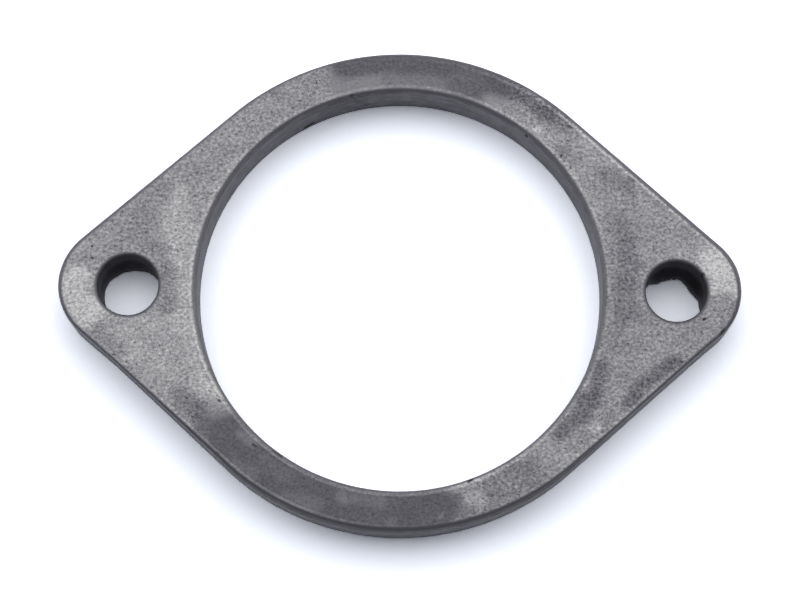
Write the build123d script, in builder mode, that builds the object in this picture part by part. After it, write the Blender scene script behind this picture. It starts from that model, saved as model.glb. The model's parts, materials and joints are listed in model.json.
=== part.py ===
# Flat two-bolt exhaust flange, punched from steel plate as one solid.
# Frame: +X along the two bolt ears, +Z along the pipe bore, underside at z = 0,
# origin on the bore's axis at the middle of the outline. Millimetres.
import os
from math import acos, atan2, degrees, hypot

from build123d import *

# Driving dimensions, each one set by itself
pipe_diameter = 76.2         # the tube that is welded into the bore
pipe_clearance = 0.4         # gap round the tube, on the radius
plate_thickness = 9.5
ring_wall = 8.0              # steel outside the bore, at the ring's narrowest
side_drop = 2.5              # each side's long arc is centred this far past the bore
bolt_spacing = 104.0         # centre to centre of the two bolt holes
bolt_diameter = 10.0
bolt_clearance = 0.75        # gap round the bolt, on the radius
punch_offset = 0.45          # both bolt holes were struck this far towards +X
ear_wall = 6.45              # steel round a bolt hole, in the round end of its ear
ear_overhang = 0.8           # each ear's round end is centred this far past its hole
top_edge_radius = 0.8        # rolled edge of the outline and the bore, upper face
hole_edge_radius = 0.5       # rolled edge of the bolt holes, upper face
lower_edge_radius = 0.4      # tumbled edge all round the lower face

# Sizes that follow from them
bore_radius = pipe_diameter / 2 + pipe_clearance
side_radius = bore_radius + ring_wall + side_drop
hole_radius = bolt_diameter / 2 + bolt_clearance
ear_radius = hole_radius + ear_wall
ear_x = bolt_spacing / 2 + ear_overhang

# A straight flank touches the ear's arc and the side's long arc. At both
# touching points the arc has turned by this angle from +X.
centre_distance = hypot(ear_x, side_drop)
flank_angle = degrees(
    atan2(side_drop, ear_x) + acos((side_radius - ear_radius) / centre_distance)
)

with BuildPart() as exhaust_flange:
    # One quarter of the outline, mirrored into the other three
    with BuildSketch() as plate:
        with BuildLine() as outline:
            ear_arc = CenterArc((ear_x, 0), ear_radius, 0, flank_angle)
            side_arc = CenterArc((0, -side_drop), side_radius, flank_angle, 90 - flank_angle)
            Line(ear_arc @ 1, side_arc @ 0)
            mirror(about=Plane.YZ)
            mirror(about=Plane.XZ)
        make_face()
    extrude(amount=plate_thickness)

    # The pipe bore and the two bolt holes
    Hole(radius=bore_radius)
    with Locations((punch_offset, 0)):
        with GridLocations(bolt_spacing, 0, 2, 1):
            Hole(radius=hole_radius)

    # Punching and tumbling leave every edge round
    upper_face = exhaust_flange.faces().sort_by(Axis.Z)[-1]
    bore_rim = upper_face.inner_wires().sort_by(SortBy.LENGTH)[-1]
    hole_rims = upper_face.inner_wires().sort_by(SortBy.LENGTH)[:-1]
    fillet(upper_face.outer_wire().edges() + bore_rim.edges(), radius=top_edge_radius)
    fillet(hole_rims.edges(), radius=hole_edge_radius)
    lower_face = exhaust_flange.faces().sort_by(Axis.Z)[0]
    fillet(lower_face.edges(), radius=lower_edge_radius)

exhaust_flange.part.label = "exhaust_flange"

os.makedirs("parts", exist_ok=True)
export_step(exhaust_flange.part, "parts/exhaust_flange.step")
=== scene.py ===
# %% [markdown]
# # A two-bolt exhaust flange
# The real flange is one slab of steel, punched out of thick plate: a ring that is
# welded to the end of an exhaust pipe, with an ear at each side for a bolt. It was
# tumbled after punching, so its edges are dull, and it has never been painted.
# The solid model has the right sizes but a perfect surface. Here the same shape is
# built again with the marks of the press and the tumbler, and given bare steel.

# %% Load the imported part
import json
import math

import bmesh
import bpy
from mathutils import Matrix, Vector, noise


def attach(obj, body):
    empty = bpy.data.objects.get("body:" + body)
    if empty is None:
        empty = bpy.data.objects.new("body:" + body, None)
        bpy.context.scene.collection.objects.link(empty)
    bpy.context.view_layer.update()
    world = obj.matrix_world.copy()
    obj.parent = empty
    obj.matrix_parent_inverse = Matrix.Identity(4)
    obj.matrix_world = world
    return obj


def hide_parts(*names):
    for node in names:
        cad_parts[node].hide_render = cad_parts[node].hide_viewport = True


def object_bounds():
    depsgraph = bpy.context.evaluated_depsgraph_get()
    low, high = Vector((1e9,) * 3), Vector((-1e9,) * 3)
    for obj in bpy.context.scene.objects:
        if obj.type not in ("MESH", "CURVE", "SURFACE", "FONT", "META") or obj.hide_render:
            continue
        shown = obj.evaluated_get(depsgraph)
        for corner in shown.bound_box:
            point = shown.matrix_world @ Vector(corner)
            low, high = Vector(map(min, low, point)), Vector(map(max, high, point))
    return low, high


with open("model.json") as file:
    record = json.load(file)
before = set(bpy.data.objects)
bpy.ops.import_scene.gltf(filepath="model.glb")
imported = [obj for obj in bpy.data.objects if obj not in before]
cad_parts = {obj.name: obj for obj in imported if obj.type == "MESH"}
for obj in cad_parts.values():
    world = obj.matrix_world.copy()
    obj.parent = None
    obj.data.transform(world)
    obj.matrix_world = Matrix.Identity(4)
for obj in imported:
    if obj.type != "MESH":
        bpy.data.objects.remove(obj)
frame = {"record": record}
cad_low, cad_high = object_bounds()
mounts = {mount["name"]: mount for mount in frame["record"]["mounts"]}
MM = 0.001
print("box of the solid in mm:", [round((b - a) / MM, 2) for a, b in zip(cad_low, cad_high)])

# %% [markdown]
# ## The camera
# The flange lies flat and is seen from almost straight above, a little from its
# near side, with a long lens. A camera could be aimed with a Track To constraint,
# but a constraint knows nothing about roll, so its three axes are worked out here.

# %% Camera
elevation = math.radians(78.284)
azimuth = math.radians(2.274)
roll = math.radians(-1.524)
camera_distance = 459.8 * MM
aim = Vector((0.059, -0.347, 0)) * MM

back = Vector((
    math.sin(azimuth) * math.cos(elevation),
    -math.cos(azimuth) * math.cos(elevation),
    math.sin(elevation),
))
level = (-back).cross(Vector((0, 0, 1))).normalized()
upright = level.cross(-back)
right = math.cos(roll) * level + math.sin(roll) * upright
up = math.cos(roll) * upright - math.sin(roll) * level

camera = bpy.data.objects.new("camera", bpy.data.cameras.new("camera"))
camera.data.sensor_width = 36
camera.data.lens = 107.04
camera.data.clip_start = 0.01
camera.matrix_world = Matrix((right, up, back)).transposed().to_4x4()
camera.matrix_world.translation = aim + camera_distance * back
bpy.context.scene.collection.objects.link(camera)
bpy.context.scene.camera = camera
print("camera stands at", [round(c, 3) for c in camera.matrix_world.translation])

# %% [markdown]
# ## The table and the light
# The flange lies on white card under one broad soft light overhead, a little
# behind it. The card has to come out pure white round the object and still take
# its soft grey shadow. More light would do that, but it would bleach the steel
# too. So the card's colour is made brighter than white, but only where the camera
# or a reflection sees it. The light that the card throws back up is unchanged.
# The studio round it is white for the camera alone. Rough steel mirrors so much
# of its surroundings that a white studio would bleach it as well, so it sees a
# dim one, brighter low down, where it lifts the rolled edges.

# %% Floor
floor_mesh = bpy.data.meshes.new("floor")
bm = bmesh.new()
bmesh.ops.create_grid(bm, x_segments=1, y_segments=1, size=1.5)
bm.to_mesh(floor_mesh)
bm.free()
floor = bpy.data.objects.new("floor", floor_mesh)
bpy.context.scene.collection.objects.link(floor)

card = bpy.data.materials.new("white card")
card.use_nodes = True
nodes, links = card.node_tree.nodes, card.node_tree.links
nodes.remove(nodes["Principled BSDF"])
paper = nodes.new("ShaderNodeBsdfDiffuse")
links.new(paper.outputs[0], nodes["Material Output"].inputs["Surface"])
ray = nodes.new("ShaderNodeLightPath")
direct = nodes.new("ShaderNodeMath")
direct.operation = "MAXIMUM"
links.new(ray.outputs["Is Camera Ray"], direct.inputs[0])
links.new(ray.outputs["Is Glossy Ray"], direct.inputs[1])
white = nodes.new("ShaderNodeMixRGB")
white.inputs[1].default_value = (0.8, 0.8, 0.8, 1)
white.inputs[2].default_value = (1.70, 1.75, 1.88, 1)
links.new(direct.outputs[0], white.inputs[0])
links.new(white.outputs[0], paper.inputs["Color"])
floor_mesh.materials.append(card)

# %% Light
lamp = bpy.data.objects.new("overhead", bpy.data.lights.new("overhead", "AREA"))
lamp.data.shape = "RECTANGLE"
lamp.data.size = 3.4
lamp.data.size_y = 1.3
lamp.data.energy = 21.5
lamp.location = (0.0, 0.6, 0.8)
bpy.context.scene.collection.objects.link(lamp)

world = bpy.data.worlds.new("studio")
world.use_nodes = True
sky = world.node_tree.nodes["Background"]
direction = world.node_tree.nodes.new("ShaderNodeTexCoord")
split = world.node_tree.nodes.new("ShaderNodeSeparateXYZ")
walls = world.node_tree.nodes.new("ShaderNodeValToRGB")
walls.color_ramp.elements[0].color = (0.5, 0.51, 0.54, 1)
walls.color_ramp.elements[1].position = 0.4
walls.color_ramp.elements[1].color = (0.13, 0.135, 0.15, 1)
ray = world.node_tree.nodes.new("ShaderNodeLightPath")
seen = world.node_tree.nodes.new("ShaderNodeMixRGB")
seen.inputs[2].default_value = (1, 1, 1, 1)
for start, end in (
    (direction.outputs["Generated"], split.inputs[0]),
    (split.outputs["Z"], walls.inputs[0]),
    (walls.outputs["Color"], seen.inputs[1]),
    (ray.outputs["Is Camera Ray"], seen.inputs[0]),
    (seen.outputs[0], sky.inputs["Color"]),
):
    world.node_tree.links.new(start, end)
bpy.context.scene.world = world
bpy.context.scene.view_settings.view_transform = "Standard"

# %% [markdown]
# ## The outline
# The plate's edge is made of straight flanks and arcs that touch them: a small arc
# round each ear and a long one along each side, centred a little past the bore.
# The top face stops short of the edge by the width of the rolled corner, so every
# arc is drawn smaller by that much. One quarter is spun and extruded from a single
# vertex, and mirrored twice. A curve object with its handles would also do, but
# the spin gives evenly spaced vertices, which the walls will need.

# %% Sizes of the plate
thickness = cad_high.z
half_width = cad_high.y
tip = cad_high.x
bore_r = mounts["pipe_bore"]["dims"]["r_mm"] * MM
hole_r = mounts["bolt_holes"]["dims"]["hole_r_mm"] * MM
hole_x = mounts["bolt_holes"]["dims"]["spacing_x_mm"] * MM / 2
struck_off = mounts["bolt_holes"]["pos_m"][0]
holes = {"left": Vector((struck_off - hole_x, 0, 0)), "right": Vector((struck_off + hole_x, 0, 0))}

ear_r = 12.2 * MM
side_drop = 2.5 * MM
ear_x = tip - ear_r
side_r = half_width + side_drop
flank = math.atan2(side_drop, ear_x) + math.acos((side_r - ear_r) / math.hypot(ear_x, side_drop))
corner = 0.8 * MM
hole_corner = 0.5 * MM
print("flank turns away from +X by", round(math.degrees(flank), 2), "degrees")


# %% Spin and mirror the outline
def new_parts(made, kind):
    """The vertices or the edges that an operator says it made."""
    return [part for part in made["geom"] if isinstance(part, kind)]


def draw_outline(bm, z, step):
    """One closed loop of edges round the plate at height z; returns its edges."""
    point = bm.verts.new((tip - corner, 0, z))
    arcs = [
        (Vector((ear_x, 0, z)), ear_r - corner, flank),
        (Vector((0, -side_drop, z)), side_r - corner, math.pi / 2 - flank),
    ]
    for number, (centre, radius, angle) in enumerate(arcs):
        if number:
            start = centre + radius * Vector((math.cos(flank), math.sin(flank), 0))
            length = (start - point.co).length
            made = bmesh.ops.extrude_vert_indiv(bm, verts=[point])
            made["verts"][0].co = start
            bmesh.ops.subdivide_edges(bm, edges=made["edges"], cuts=round(length / step) - 1)
            point = min(bm.verts, key=lambda vert: (vert.co - start).length)
        steps = round(radius * angle / step)
        made = bmesh.ops.spin(bm, geom=[point], cent=centre, axis=(0, 0, 1), angle=angle, steps=steps)
        point = made["geom_last"][0]
    for axis in "XY":
        bmesh.ops.mirror(bm, geom=bm.verts[:] + bm.edges[:], axis=axis, merge_dist=1e-6)
    bmesh.ops.remove_doubles(bm, verts=bm.verts[:], dist=1e-6)
    return bm.edges[:]


# %% [markdown]
# ## The flat faces
# The face between the outline and the bore is drawn in from the outline: the loop
# is extruded once, the new loop is pulled straight in onto the bore's circle, and
# the spokes between them are cut into rows of small quads. Each ear is then
# cleared and drawn in again round its own bolt hole. A boolean cut would be
# quicker, but it leaves long thin faces that can't take dents or waves.

# %% Draw a loop in to a circle
def draw_in(bm, loop, centre, radius, rows):
    """Extrudes loop, pulls the new edge onto a circle, and cuts the spokes between."""
    made = bmesh.ops.extrude_edge_only(bm, edges=loop)
    inner = new_parts(made, bmesh.types.BMVert)
    fresh = set(inner)
    for vert in inner:
        toward = vert.co - centre
        toward.z = 0
        vert.co = centre + radius * toward.normalized() + Vector((0, 0, vert.co.z))
    spokes = [e for v in inner for e in v.link_edges if e.other_vert(v) not in fresh]
    rim = [e for v in inner for e in v.link_edges if e.other_vert(v) in fresh]
    bmesh.ops.subdivide_edges(bm, edges=spokes, cuts=rows - 1, use_grid_fill=True)
    return list(dict.fromkeys(rim))


def draw_face(bm, z, step, rows, ear_rows):
    """A whole flat face at height z; returns the edges of each of its four rims."""
    rims = {"outline": draw_outline(bm, z, step)}
    rims["bore"] = draw_in(bm, rims["outline"], Vector(), bore_r + corner, rows)
    ear_half = math.radians(18)
    for side, centre in holes.items():
        sign = 1 if centre.x > 0 else -1

        def off_axis(part):
            return max(abs(math.atan2(v.co.y, sign * v.co.x)) for v in part.verts)

        clear = [f for f in bm.faces if off_axis(f) < ear_half]
        edge_of_ear = max(off_axis(f) for f in clear) + 1e-4
        bmesh.ops.delete(bm, geom=clear, context="FACES_KEEP_BOUNDARY")
        border = [e for e in bm.edges if len(e.link_faces) < 2 and off_axis(e) < edge_of_ear]
        rims[side] = draw_in(bm, border, centre, hole_r + hole_corner, ear_rows)
    return rims


bm = bmesh.new()
rims = draw_face(bm, thickness, 0.5 * MM, 18, 20)
print("top face:", len(bm.faces), "faces,", {k: len(v) for k, v in rims.items()})

# %% [markdown]
# ## The walls
# A punch first bends the plate's edge down, then cuts a clean band, and the rest
# of the thickness breaks and leaves a rougher wall that leans out a little. Each
# rim is extruded downward step by step: round the rolled corner, down a wall that
# leans by a few hundredths of a millimetre, and round the small corner at the
# foot. A bevel could make both corners, but it leaves one tall face between them.
# The streaks and the broken zone, which come next, need many low rows there.

# %% Which way is out of the steel
def out_of_outline(co):
    """The outline's outward direction at a point, from the arc or flank it is on."""
    x, y = abs(co.x), abs(co.y)
    if math.atan2(y, x - ear_x) <= flank:
        out = Vector((x - ear_x, y, 0)).normalized()
    elif math.atan2(y + side_drop, x) >= flank:
        out = Vector((x, y + side_drop, 0)).normalized()
    else:
        out = Vector((math.cos(flank), math.sin(flank), 0))
    return Vector((math.copysign(out.x, co.x), math.copysign(out.y, co.y), 0))


def into_circle(centre):
    """A function that gives the direction from a point to a hole's own axis."""
    def inward(co):
        away = centre - co
        away.z = 0
        return away.normalized()
    return inward


ways_out = {"outline": out_of_outline, "bore": into_circle(Vector())}
for side, centre in holes.items():
    ways_out[side] = into_circle(centre)


# %% Extrude each wall along its profile
def wall_profile(width, lean, rows):
    """Steps out from the rim and heights, from the top face to the bottom face."""
    radius = width - lean
    steps = []
    for turn in range(1, 7):
        angle = math.radians(90 * turn / 6)
        steps.append((radius * math.sin(angle), thickness - radius * (1 - math.cos(angle))))
    foot = 0.2 * MM
    top = steps[-1][1]
    for row in range(1, rows + 1):
        z = top + (foot - top) * row / rows
        steps.append((radius + lean * row / rows, z))
    for turn in range(1, 5):
        angle = math.radians(90 * turn / 4)
        steps.append((width - foot * (1 - math.cos(angle)), foot * (1 - math.sin(angle))))
    steps.append((0, 0))
    return steps


def extrude_wall(bm, loop, out, profile):
    """Extrudes a rim along the profile and returns the last loop of edges."""
    last = (0, thickness)
    for reach, z in profile:
        made = bmesh.ops.extrude_edge_only(bm, edges=loop)
        fresh = set(new_parts(made, bmesh.types.BMVert))
        for vert in fresh:
            vert.co += out(vert.co) * (reach - last[0])
            vert.co.z = z
        loop = list({e for v in fresh for e in v.link_edges if e.other_vert(v) in fresh})
        last = (reach, z)
    return loop


lean = {"outline": 0.02 * MM, "bore": 0.06 * MM}
for name, rim in rims.items():
    width = corner if name in lean else hole_corner
    extrude_wall(bm, rim, ways_out[name], wall_profile(width, lean.get(name, 0), 18))
print("with walls:", len(bm.faces), "faces")

# %% Close the underside
under = bmesh.new()
draw_face(under, 0, 0.5 * MM, 18, 5)
under_mesh = bpy.data.meshes.new("under")
under.to_mesh(under_mesh)
under.free()
bm.from_mesh(under_mesh)
bpy.data.meshes.remove(under_mesh)
bmesh.ops.remove_doubles(bm, verts=bm.verts[:], dist=5e-6)
open_edges = sum(1 for e in bm.edges if len(e.link_faces) != 2)
bmesh.ops.recalc_face_normals(bm, faces=bm.faces[:])
print("closed:", len(bm.faces), "faces,", open_edges, "open edges")


# %% [markdown]
# ## Dents, waves and torn edges
# No punched plate is flat: its faces wave a little, the walls carry streaks from
# the punch, and the tumbler leaves pits and nicks. A displacement texture could
# do it for the whole mesh at once, but it can't put one nick in one place. So each
# vertex is sunk along its own normal: a little everywhere by noise, more where the
# wall broke, and most near the marks in the list below. The mesh is first cut
# finer where the marks are. At the foot of each bolt hole the steel has torn into
# a ragged lip, and the near flanks of the ears are drawn in a little. These two go
# sideways, by a table of angles, since a lip stands out and isn't sunk.

# %% The single marks
def on_bore(degrees, z, radius=38.5):
    """A point on the bore's wall, in mm."""
    return (radius * math.cos(math.radians(degrees)), radius * math.sin(math.radians(degrees)), z)


top = thickness / MM
# start, end, radius and depth in mm, and how dark the painted shade in the mark is
marks = [
    ((-58.6, 7.4, top), (-58.6, 7.4, top), 0.35, 0.14, 1.0),
    ((-58.5, 5.1, top), (-58.3, 5.0, top), 0.32, 0.12, 0.9),
    ((-33.7, -22.0, top), (-33.4, -22.1, top), 0.35, 0.12, 0.8),
    ((-26.9, -30.4, top), (-26.5, -30.7, top), 0.4, 0.12, 0.4),
    ((32.0, 32.2, top), (32.5, 31.9, top), 0.35, 0.12, 0.6),
    ((30.7, 26.3, top), (30.6, 26.1, top), 0.35, 0.14, 0.8),
    ((57.8, -5.2, top), (57.5, -5.4, top), 0.35, 0.12, 1.0),
    ((61.2, -7.6, top - 0.2), (60.8, -8.1, top - 0.3), 0.6, 0.2, 0.9),
    ((57.6, 3.3, top), (57.2, 3.1, top - 0.6), 0.5, 0.2, 0.3),
    (on_bore(104.4, top - 0.2, 38.9), on_bore(103.8, top - 1.0), 0.5, 0.2, 0.5),
    (on_bore(103.4, top - 1.5), on_bore(100.4, 3.5), 1.3, 0.12, 0.15),
    (on_bore(119.0, 1.2), on_bore(117.0, 1.5), 0.9, 0.5, 1.0),
    (on_bore(51.8, top - 0.5, 38.7), on_bore(51.6, top - 0.9), 0.5, 0.35, 1.0),
    (on_bore(-69.8, top - 0.1, 38.9), on_bore(-68.9, top - 0.3, 38.8), 0.5, 0.3, 1.0),
    (on_bore(-126.4, top - 0.1, 38.9), on_bore(-123.8, top - 0.1, 38.9), 0.35, 0.12, 0.7),
]
# angle round each bolt hole, and how far the torn lip at its foot stands into it
torn_lip = {
    "left": [
        (-180, 0.35), (-150, 0.1), (20, 0.2), (60, 0.65), (72, 0.95), (84, 1.05), (108, 1.15), (132, 1.0),
        (144, 0.7), (160, 0.5), (180, 0.35),
    ],
    "right": [
        (-180, 0.1), (-20, 0.0), (-12, 0.4), (0, 0.7), (12, 1.3), (24, 1.8), (36, 1.85), (48, 1.6),
        (60, 1.55), (72, 1.25), (84, 1.45), (96, 1.65), (120, 1.6), (132, 1.35), (142, 0.5), (150, 0.35),
        (180, 0.1),
    ],
}


# angle about the bore, and how far the outline's wall is drawn in from the solid's there
drawn_in = [
    (-180, 0.1), (-172, 0.3), (-165, 0.6), (-155, 0.46), (-145, 0.3), (-130, 0.08), (-115, 0.0),
    (-50, 0.0), (-40, 0.05), (-30, 0.24), (-20, 0.42), (-10, 0.6), (-4, 0.3), (4, 0.0), (180, 0.1),
]


def soft_step(value):
    """0 below 0, 1 above 1, and smooth between."""
    value = min(1, max(0, value))
    return value * value * (3 - 2 * value)


def read_off(table, angle):
    """The value at an angle, on straight runs between a table's rows."""
    for (first, low), (last, high) in zip(table, table[1:]):
        if first <= angle <= last:
            return low + (high - low) * (angle - first) / (last - first)


def nearest_on(start, end, co):
    """Distance in mm from a point to the stretch between two others."""
    start, end = Vector(start), Vector(end)
    along = end - start
    if along.length < 1e-9:
        return (co - start).length
    share = min(1, max(0, (co - start).dot(along) / along.length_squared))
    return (co - start - share * along).length


for start, end, radius, depth, darkness in marks:
    near = {
        e for f in bm.faces if nearest_on(start, end, f.calc_center_median() / MM) < radius + 0.3
        for e in f.edges
    }
    bmesh.ops.subdivide_edges(bm, edges=list(near), cuts=3, use_grid_fill=True)
bmesh.ops.triangulate(bm, faces=[f for f in bm.faces if len(f.verts) > 4])
print("cut finer round", len(marks), "marks:", len(bm.faces), "faces")


# %% Where a point lies on the flange
def where(co):
    """Which surface a point is on: top, under, outline, bore, left or right."""
    if co.z > thickness - 1e-6:
        return "top"
    if co.z < 1e-6:
        return "under"
    for side, centre in holes.items():
        if math.hypot(co.x - centre.x, co.y) < hole_r + hole_corner + 1e-5:
            return side
    if math.hypot(co.x, co.y) < bore_r + corner + 1e-5:
        return "bore"
    return "outline"


def from_outline(co):
    """Distance in mm from a point inside the plate to the outline."""
    x, y = abs(co.x), abs(co.y)
    if math.atan2(y, x - ear_x) <= flank:
        return (ear_r - math.hypot(x - ear_x, y)) / MM
    if math.atan2(y + side_drop, x) >= flank:
        return (side_r - math.hypot(x, y + side_drop)) / MM
    return (ear_r - math.cos(flank) * (x - ear_x) - math.sin(flank) * y) / MM


# %% Sink the surface
def lip_height(side, co):
    """How far the torn lip of a bolt hole stands out at a point in mm."""
    centre = holes[side] / MM
    if co.z > 5 or math.hypot(co.x - centre.x, co.y) > hole_r / MM + 0.2:
        return 0
    angle = math.degrees(math.atan2(co.y, co.x - centre.x))
    ragged = 1 + 0.12 * noise.noise(co / 0.8)
    return read_off(torn_lip[side], angle) * ragged * soft_step((5 - co.z) / 3.5)


pit_shade_layer = bm.verts.layers.float.new("pit_shade")
wall_layer = bm.verts.layers.float.new("wall")
hole_shade_layer = bm.verts.layers.float.new("bolt_hole")
bm.normal_update()
moves = []
for vert in bm.verts:
    co = vert.co / MM
    place = where(vert.co)
    slope = 1 - abs(vert.normal.z)
    sink = 0.015 + 0.015 * noise.noise(co / 14)
    sink += 0.012 * noise.noise(co / 1.6)
    if place not in ("top", "under"):
        streaks = Vector((co.x / 9, co.y / 9, co.z / 0.5))
        sink += slope * 0.015 * (1 + noise.noise(streaks))
        broken = min(1, max(0, (5.5 + noise.noise(co / 5) - co.z) / 1.0))
        sink += slope * broken * 0.03 * (1 + noise.noise(co / 1.1))
        vert[wall_layer] = min(1, slope * 2.2)
        vert[hole_shade_layer] = slope if place in holes else 0
    for start, end, radius, depth, darkness in marks:
        gap = nearest_on(start, end, co)
        if gap < radius:
            share = (1 + math.cos(math.pi * gap / radius)) / 2
            sink += depth * share
            vert[pit_shade_layer] = max(vert[pit_shade_layer], min(1, 1.6 * share) * darkness)
    move = -vert.normal * max(0, sink) * MM
    for side in holes:
        move += ways_out[side](vert.co) * lip_height(side, co) * MM
    gap = from_outline(vert.co) * MM
    if gap < corner:
        inset = read_off(drawn_in, math.degrees(math.atan2(co.y, co.x))) * MM
        move -= out_of_outline(vert.co) * inset * (1 - gap / corner)
    moves.append((vert, move))
for vert, move in moves:
    vert.co += move
print("deepest mark or lip in mm:", round(max(m.length for v, m in moves) / MM, 2))

# %% [markdown]
# ## Mill scale and rubbed steel
# The plate still wears patches of dark, smooth mill scale, above all along the
# ring's far side and its near left side. Round the ears the tumbler has rubbed the
# scale off, and the steel is pale and speckled. Where the patches lie is painted
# as strokes in plan view, each with its tone, from 0 for scale to 1 for rubbed
# steel. A texture would need a picture file; a noise alone would put the
# patches anywhere. The strokes' borders are broken up with noise.


# %% Paint the tone of the faces
def around(radius, first, last, drop=0):
    """Points along an arc about the bore's axis, in mm, for a stroke."""
    count = max(2, round(abs(last - first) / 6) + 1)
    turns = [math.radians(first + (last - first) * n / (count - 1)) for n in range(count)]
    return [(radius * math.cos(t), radius * math.sin(t) - drop) for t in turns]


# tone, half width, softness of the border, points
strokes = [
    # mid-grey along the left ear's far flank, pale between its hole and the bore
    (0.50, 3.5, 3.5, [(-54, 10.5), (-49, 12.5), (-44, 21), (-36, 28), (-26, 35.5), (-18, 38.5)]),
    (0.76, 2.0, 2.6, [(-43.5, 17), (-42, 9), (-40.5, 3), (-40.5, -3)]),
    (0.80, 2.0, 2.6, [(-41, -6), (-38, -13), (-35, -19)]),
    (0.68, 3.0, 3.0, [(-53, -9.5), (-47, -11), (-42, -16)]),
    (0.93, 1.7, 2.4, [(-61.3, 1), (-61.2, -2.5), (-59, -5)]),
    (0.48, 1.0, 2.0, [(-57, -9.5), (-54, -12.5)]),
    (0.42, 0.8, 2.2, [(-46.5, 17.5), (-45.5, 19)]),
    (0.40, 0.6, 2.2, [(-43.6, -4), (-44, 3), (-46, 7)]),
    (0.42, 0.8, 2.2, [(-49.5, 11), (-49, 15)]),
    (0.36, 1.0, 2.2, [(-40.5, -21.5), (-37.5, -24)]),
    (0.22, 0.8, 2.4, [(-37.4, -23.6), (-36.8, -26.8)]),
    # the right ear: mid-grey neck, pale round end
    (0.48, 3.0, 3.0, [(40.5, 12), (40.5, 0), (40.5, -8)]),
    (0.24, 0.8, 3.0, [(43.5, 21), (43, 14), (43.3, 6), (43, -1), (44, -8)]),
    (0.16, 0.5, 2.0, [(43.2, 21.5), (43.2, 15)]),
    (0.38, 0.6, 1.8, [(45.5, -6), (44, -8.5)]),
    (0.50, 3.5, 3.5, [(50, 12), (47, 16), (43, 22)]),
    (0.95, 1.8, 2.6, [(59.5, 6), (61.2, 4), (62, 1)]),
    (0.47, 2.0, 2.5, [(61, -3.5), (58.5, -8)]),
    (0.50, 2.2, 2.5, [(55, -9), (46, -9.5), (43.5, -14), (40, -23), (36, -27.5)]),
    (0.10, 0.5, 1.8, [(52.5, -13.5), (49, -15.3), (46, -18.3), (43, -21.3)]),
    (0.16, 0.6, 2.0, [(38.2, -14.5), (37.4, -18), (36.6, -21), (34.2, -24), (31, -26.8)]),
    (0.06, 0.3, 1.4, [(37, -20.4), (36.4, -21.4)]),
    (0.16, 0.5, 1.8, [(34.5, -20.5), (35, -22)]),
    # towards the far side from the right ear
    (0.54, 2.5, 3.0, [(31, 30), (35, 27), (37, 20)]),
    (0.30, 0.8, 1.8, [(39.5, 22.5), (43, 20.5)]),
    (0.34, 0.4, 1.4, [(30.2, 27.2), (31, 26.6)]),
    (0.24, 0.6, 1.6, [(29, 34.5), (31.5, 32.5)]),
    # mill scale along the far side, paler beside the bore
    (0.44, 1.6, 2.0, around(40.6, 92, 122)),
    (0.30, 1.6, 2.0, around(40.6, 70, 92)),
    (0.45, 1.5, 3.0, [(-22, 39.5), (-14, 42)]),
    (0.08, 1.2, 2.8, around(45.0, 64, 104)),
    (0.14, 1.8, 2.4, around(42.5, 64, 74)),
    (0.06, 1.2, 2.0, [(18, 40.8), (21.5, 39), (24.5, 37), (27.5, 35)]),
    (0.52, 0.8, 2.2, [(17.5, 36.5), (22, 34.5), (26.6, 31.3)]),
    (0.92, 0.2, 1.2, [(26.3, 31.5), (26.9, 31.2)]),
    # mill scale along the near side
    (0.13, 3.6, 2.8, around(42.7, -137, -81)),
    (0.26, 0.6, 1.6, [(-10, -39.8), (-3, -40.6)]),
    (0.42, 0.15, 0.6, [(8.1, -43.0), (8.5, -42.9)]),
    (0.34, 0.2, 0.9, [(-10.9, -39.8), (-9.4, -40.2)]),
    (0.34, 0.3, 1.2, [(-29.0, -28.4), (-27.0, -29.8)]),
    (0.20, 0.5, 1.6, [(-24.5, -33.5), (-20.5, -36.5)]),
    (0.24, 0.6, 1.6, [(-21, -40.2), (-15, -41.5)]),
    (0.24, 0.5, 1.5, [(-30, -34), (-27, -36)]),
    (0.18, 0.6, 1.8, [(11.5, -40.5), (12.5, -42)]),
    (0.26, 0.3, 1.2, [(-18.4, -41.4), (-17.2, -42.2)]),
    (0.26, 0.3, 1.0, [(-1.4, -44.4), (-0.4, -44.4)]),
    (0.28, 0.2, 0.9, [(-4.3, -40.4), (-2.6, -40.5)]),
    (0.38, 3.0, 2.5, [(16, -41.5), (21, -38.5), (24, -36.5)]),
    (0.64, 0.5, 1.8, [(14.2, -39.8), (16, -40.2)]),
    (0.30, 0.6, 1.8, [(21, -34.6), (25, -33.4)]),
    (0.84, 0.3, 1.4, [(36.8, -26.2), (37.3, -25.9)]),
]
# the strokes where the scale is whole and smooth: half width, softness, points
whole_scale = [
    (4.0, 5.0, around(43.2, 70, 101)),
    (3.6, 4.5, around(42.7, -138, -81)),
]


def gap_to(points, spot):
    """Distance in mm from a spot in plan to a stroke's line."""
    return min(nearest_on((*a, 0), (*b, 0), spot) for a, b in zip(points, points[1:]))


def tone_at(co):
    """The tone of a face at a point in mm, and how whole the scale is there."""
    wobble = noise.noise_vector(Vector((co.x / 3.6, co.y / 2.6, 0)))
    spot = Vector((co.x + 0.9 * wobble.x, co.y + 0.7 * wobble.y, 0))
    tone = 0.58
    for level, half, soft, points in strokes:
        gap = gap_to(points, spot)
        if gap < half + soft:
            tone += (level - tone) * soft_step((half + soft - gap) / soft)
    whole = 0
    for half, soft, points in whole_scale:
        whole = max(whole, soft_step((half + soft - gap_to(points, spot)) / soft))
    return tone, whole
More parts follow.
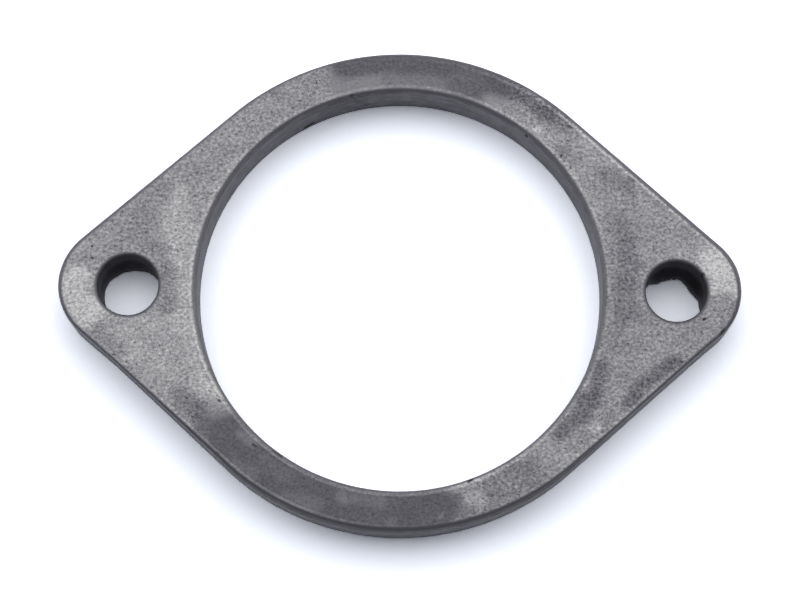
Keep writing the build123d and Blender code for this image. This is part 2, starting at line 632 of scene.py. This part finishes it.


# %% [markdown]
# ## Lines along the edges
# The rolled corners are painted dark, partly as their own dark scale and partly
# as painted shade where they turn from the light, and just inside them a pale
# line is painted as a highlight, stronger on some stretches than on others. Both
# are thinner than the mesh is fine. So a vertex doesn't hold the line itself, but
# how far it is from the edge and how strong the line is there, and the material
# draws it.
# How far in the dark corner reaches and how pale the wall is also change along
# the edge. Each is read off a table by the angle about the bore's axis.

# %% How strong the lines are round each edge
# angle, and how much paler the painted highlight line is there
highlight_lines = {
    "outline": [
        (-180, 0.0), (-155, 0.05), (-150, 0.2), (-134, 0.3), (-112, 0.2), (-70, 0.05),
        (-50, 0.08), (-20, 0.15), (-8, 0.0), (8, 0.1), (15, 0.3), (40, 0.35), (56, 0.3),
        (64, 0.2), (82, 0.05), (120, 0.0), (180, 0.0),
    ],
    "bore": [
        (-180, 0.15), (-165, 0.2), (-128, 0.35), (-90, 0.3), (-60, 0.3), (-30, 0.15),
        (0, 0.1), (30, 0.15), (50, 0.1), (68, 0.25), (130, 0.12), (180, 0.15),
    ],
}
# angle round the outline, and how far in from it the corner's painted shade is full, in mm
corner_starts = [
    (-180, 0.6), (-165, 0.8), (-145, 0.8), (-130, 0.65), (-120, 0.6), (-110, 0.65), (-90, 0.9),
    (-70, 0.85), (-50, 0.6), (-40, 0.5), (-30, 0.5), (-20, 0.75), (-10, 1.0), (0, 0.75), (15, 0.6),
    (40, 0.5), (60, 0.45), (90, 0.5), (150, 0.5), (180, 0.6),
]
# angle, and how dark the corner is painted there: painted shade, partly its own dark scale
shaded_corners = {
    "outline": [(-180, 0.9), (-90, 1.0), (0, 0.9), (40, 0.6), (90, 0.3), (140, 0.6), (180, 0.9)],
    "bore": [(-180, 0.6), (-150, 0.3), (-120, 0.2), (-90, 0.05), (-60, 0.05), (-30, 0.4), (0, 0.6),
             (30, 0.8), (50, 1.0), (130, 1.0), (180, 0.6)],
}
# angle, and the tone of the wall there
wall_tones = {
    "outline": [
        (-180, 0.4), (-165, 0.1), (-130, 0.1), (-110, 0.35), (-90, 0.2), (-70, 0.3), (-50, 0.2),
        (-30, 0.0), (-10, 0.1), (0, 0.4), (180, 0.5),
    ],
    "bore": [(-180, 0.7), (0, 0.7), (30, 0.4), (60, 0.65), (90, 0.5), (110, 0.2), (130, 0.6),
             (150, 0.45), (180, 0.7)],
}


def shortest_hole_gap(co):
    """Distance in mm from a point to the nearest bolt hole's wall."""
    return min(math.hypot(co.x - c.x, co.y - c.y) for c in holes.values()) / MM - hole_r / MM


names = (
    "rub", "whole", "wall_tone", "edge_gap", "bore_gap", "hole_gap",
    "edge_highlight", "bore_highlight", "edge_shade", "bore_shade", "edge_start",
)
layers = {name: bm.verts.layers.float.new(name) for name in names}
for vert in bm.verts:
    co = vert.co / MM
    angle = math.degrees(math.atan2(co.y, co.x))
    tone, whole = tone_at(co) if co.z > 1 else (0.45, 0.5)
    values = {
        "rub": tone,
        "whole": whole,
        "wall_tone": read_off(wall_tones["outline" if from_outline(vert.co) < 2 else "bore"], angle),
        "edge_gap": from_outline(vert.co),
        "bore_gap": co.xy.length - bore_r / MM,
        "hole_gap": shortest_hole_gap(vert.co),
        "edge_highlight": read_off(highlight_lines["outline"], angle),
        "bore_highlight": read_off(highlight_lines["bore"], angle),
        "edge_shade": read_off(shaded_corners["outline"], angle),
        "bore_shade": read_off(shaded_corners["bore"], angle),
        "edge_start": read_off(corner_starts, angle),
    }
    for name, value in values.items():
        vert[layers[name]] = value
print("tones painted on", len(bm.verts), "vertices")

# %% The finished mesh
flange_mesh = bpy.data.meshes.new("flange_steel")
bm.to_mesh(flange_mesh)
bm.free()
flange_mesh.polygons.foreach_set("use_smooth", [True] * len(flange_mesh.polygons))
flange = bpy.data.objects.new("flange_steel", flange_mesh)
bpy.context.scene.collection.objects.link(flange)

# %% [markdown]
# ## Bare steel
# The surface is grey, matt and grainy. The painted tone picks its colour, and
# noise at three sizes breaks it up: blotches about three millimetres across, a
# grain of half a millimetre, and dark specks a little finer. The walls are darker,
# with faint streaks along their run, fainter scratches down them, and blotches of
# two millimetres where the steel broke. A photographed texture would carry more
# detail, but it has to be unwrapped and stretches on the walls. Noise in the
# object's own coordinates has one grain on every side.

# %% Nodes of the steel
steel = bpy.data.materials.new("bare steel")
steel.use_nodes = True
tree = steel.node_tree
metal = tree.nodes["Principled BSDF"]


def node(kind, inputs=None, **settings):
    """A shader node with its settings, and its inputs set or linked."""
    made = tree.nodes.new("ShaderNode" + kind)
    for name, value in settings.items():
        setattr(made, name, value)
    for key, value in (inputs or {}).items():
        if isinstance(value, bpy.types.NodeSocket):
            tree.links.new(value, made.inputs[key])
        else:
            made.inputs[key].default_value = value
    return made


def mapped(vector, scale):
    """Coordinates stretched by a scale per axis."""
    return node("Mapping", {"Vector": vector, "Scale": scale}).outputs[0]


def speckle(vector, scale, detail, rough=0.5, distortion=0.0):
    """A noise value from 0 to 1."""
    values = {"Vector": vector, "Scale": scale, "Detail": detail}
    values.update({"Roughness": rough, "Distortion": distortion})
    return node("TexNoise", values).outputs["Fac"]


def painted(name):
    """One of the values that the mesh carries."""
    return node("Attribute", attribute_name=name).outputs["Fac"]


def ranged(value, low, high, out_low, out_high):
    """A value moved from one range to another and kept inside it."""
    values = {"Value": value, "From Min": low, "From Max": high}
    values.update({"To Min": out_low, "To Max": out_high})
    return node("MapRange", values).outputs["Result"]


def eased(value, low, high, out_low, out_high):
    """The same with a smooth start and end."""
    values = {"Value": value, "From Min": low, "From Max": high}
    values.update({"To Min": out_low, "To Max": out_high})
    return node("MapRange", values, interpolation_type="SMOOTHSTEP").outputs["Result"]


def sums(operation, a, b):
    """One arithmetic step on two values."""
    return node("Math", {0: a, 1: b}, operation=operation).outputs[0]


def line_at(gap, inset, half, soft):
    """1 within half of the inset from an edge, and 0 past half and soft, in mm."""
    off = node("Math", {0: sums("SUBTRACT", gap, inset)}, operation="ABSOLUTE").outputs[0]
    return eased(off, half, half + soft, 1.0, 0.0)


place = node("TexCoord").outputs["Object"]
rub, whole, wall, pit_shade, bolt_hole = (painted(n) for n in ("rub", "whole", "wall", "pit_shade", "bolt_hole"))
blotch = speckle(mapped(place, (260, 330, 330)), 1.0, 3, 0.55)
grain = speckle(mapped(place, (1500, 1800, 1800)), 1.0, 3.0, 0.65)
specks = speckle(mapped(place, (1900, 2200, 2200)), 1.0, 1.0, 0.5)

# %% Tone
grain_depth = ranged(whole, 0.0, 1.0, 1.0, 0.3)
grainy = sums("MULTIPLY", ranged(grain, 0.26, 0.74, -0.46, 0.46), grain_depth)
blotchy = sums("MULTIPLY", ranged(blotch, 0.3, 0.7, -0.10, 0.10), grain_depth)
paler = ranged(whole, 0.0, 1.0, 0.17, 0.04)
tone = sums("ADD", sums("ADD", sums("ADD", rub, paler), blotchy), grainy)
dark_specks = sums("MULTIPLY", ranged(specks, 0.60, 0.74, 0.0, 0.5), grain_depth)
tone = sums("SUBTRACT", tone, dark_specks)
edge_gap, bore_gap, hole_gap = (painted(n) for n in ("edge_gap", "bore_gap", "hole_gap"))
ragged = ranged(grain, 0.3, 0.7, 0.5, 1.4)
bore_line = ranged(painted("bore_shade"), 0.2, 0.8, 0.85, 1.3)
# painted highlight: a pale line drawn just inside the outline and the bore
for gap, inset, half, strength in (
    (edge_gap, 1.15, 0.12, "edge_highlight"),
    (bore_gap, bore_line, 0.15, "bore_highlight"),
):
    pale = sums("MULTIPLY", line_at(gap, inset, half, 0.3), painted(strength))
    tone = sums("ADD", tone, sums("MULTIPLY", pale, ragged))
# painted shade on the rolled corners, strongest where they face away from the light, partly their own dark
# scale
in_from_start = sums("SUBTRACT", edge_gap, painted("edge_start"))
dark = sums("MULTIPLY", eased(in_from_start, 0.0, 0.55, 1.0, 0.0), painted("edge_shade"))
bore_corner_shade = sums("MULTIPLY", eased(bore_gap, 0.6, 1.15, 1.0, 0.0), painted("bore_shade"))
dark = sums("MAXIMUM", dark, bore_corner_shade)
# painted shade on the rims of the bolt holes
dark = sums("MAXIMUM", dark, eased(hole_gap, 0.3, 0.9, 0.8, 0.0))
tone = sums("MULTIPLY", tone, sums("SUBTRACT", 1.0, dark))

# %% Colour
shades = node("ValToRGB", {0: sums("MULTIPLY", tone, 0.8)})
ramp = shades.color_ramp
ramp.elements[0].position = 0.0
ramp.elements[0].color = (0.085, 0.083, 0.095, 1)
ramp.elements[1].position = 1.0
ramp.elements[1].color = (0.74, 0.735, 0.735, 1)
for position, colour in (
    (0.096, (0.125, 0.122, 0.138, 1)),
    (0.464, (0.31, 0.306, 0.323, 1)),
    (0.8, (0.56, 0.555, 0.56, 1)),
):
    ramp.elements.new(position).color = colour
streaks = speckle(mapped(place, (90, 90, 1500)), 1.0, 3, 0.6)
scratched = speckle(mapped(place, (1300, 1300, 120)), 1.0, 2, 0.5)
rough_wall = speckle(mapped(place, (420, 420, 700)), 1.0, 4, 0.6)
wall_tone = sums("ADD", ranged(streaks, 0.3, 0.7, -0.25, 0.25), ranged(scratched, 0.3, 0.7, -0.06, 0.06))
wall_tone = sums("ADD", wall_tone, ranged(rough_wall, 0.3, 0.7, -0.3, 0.3))
wall_tone = sums("ADD", wall_tone, painted("wall_tone"))
height_up = node("SeparateXYZ", {0: place}).outputs["Z"]
# painted light: the walls are made paler toward the foot and darker at the top
wall_tone = sums("ADD", wall_tone, ranged(height_up, 0.0, 0.0095, 0.35, -0.1))
nearest = sums("MINIMUM", edge_gap, bore_gap)
# painted reflection: the top of the rolled corners is made paler, as if mirroring the bright card
wall_corner_reflection = sums("MULTIPLY", eased(nearest, 0.1, 0.3, 0.0, 1.0), eased(height_up, 0.0087, 0.0092, 0.0, 1.0))
wall_tone = sums("ADD", wall_tone, sums("MULTIPLY", wall_corner_reflection, 1.2))
wall_tone = sums("MULTIPLY", wall_tone, 0.5)
wall_shades = node("MixRGB", {0: wall_tone, 1: (0.05, 0.049, 0.053, 1), 2: (0.26, 0.255, 0.269, 1)})
# painted reflection: the rolled corners are made paler, as if mirroring the bright card
face_corner_reflection = sums("MAXIMUM", eased(edge_gap, 0.35, 0.75, 1.0, 0.0), eased(bore_gap, 0.35, 0.75, 0.6, 0.0))
faces = node("MixRGB", {0: face_corner_reflection, 1: shades.outputs["Color"], 2: (0.18, 0.177, 0.19, 1)})
sides = node("MixRGB", {0: wall, 1: faces.outputs[0], 2: wall_shades.outputs[0]})
# painted shade: the walls of the bolt holes are made near black
coloured = node("MixRGB", {0: bolt_hole, 1: sides.outputs[0], 2: (0.04, 0.038, 0.045, 1)})
# painted shade in the pits and nicks
pitted = node("MixRGB", {0: sums("MULTIPLY", pit_shade, 0.8), 1: coloured.outputs[0], 2: (0.02, 0.02, 0.023, 1)})
tree.links.new(pitted.outputs[0], metal.inputs["Base Color"])

# %% Sheen and grain
metal.inputs["Metallic"].default_value = 1
tree.links.new(ranged(tone, 0.0, 1.0, 0.60, 0.74), metal.inputs["Roughness"])
height = sums("ADD", sums("MULTIPLY", grain, grain_depth), sums("MULTIPLY", streaks, wall))
bump = node("Bump", {"Height": height, "Strength": 0.6, "Distance": 0.00006})
tree.links.new(bump.outputs[0], metal.inputs["Normal"])
flange_mesh.materials.append(steel)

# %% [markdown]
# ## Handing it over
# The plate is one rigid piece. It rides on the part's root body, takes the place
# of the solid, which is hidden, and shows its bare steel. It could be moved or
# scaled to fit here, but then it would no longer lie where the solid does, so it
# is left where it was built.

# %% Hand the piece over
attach(flange, "root")
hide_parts("exhaust_flange")
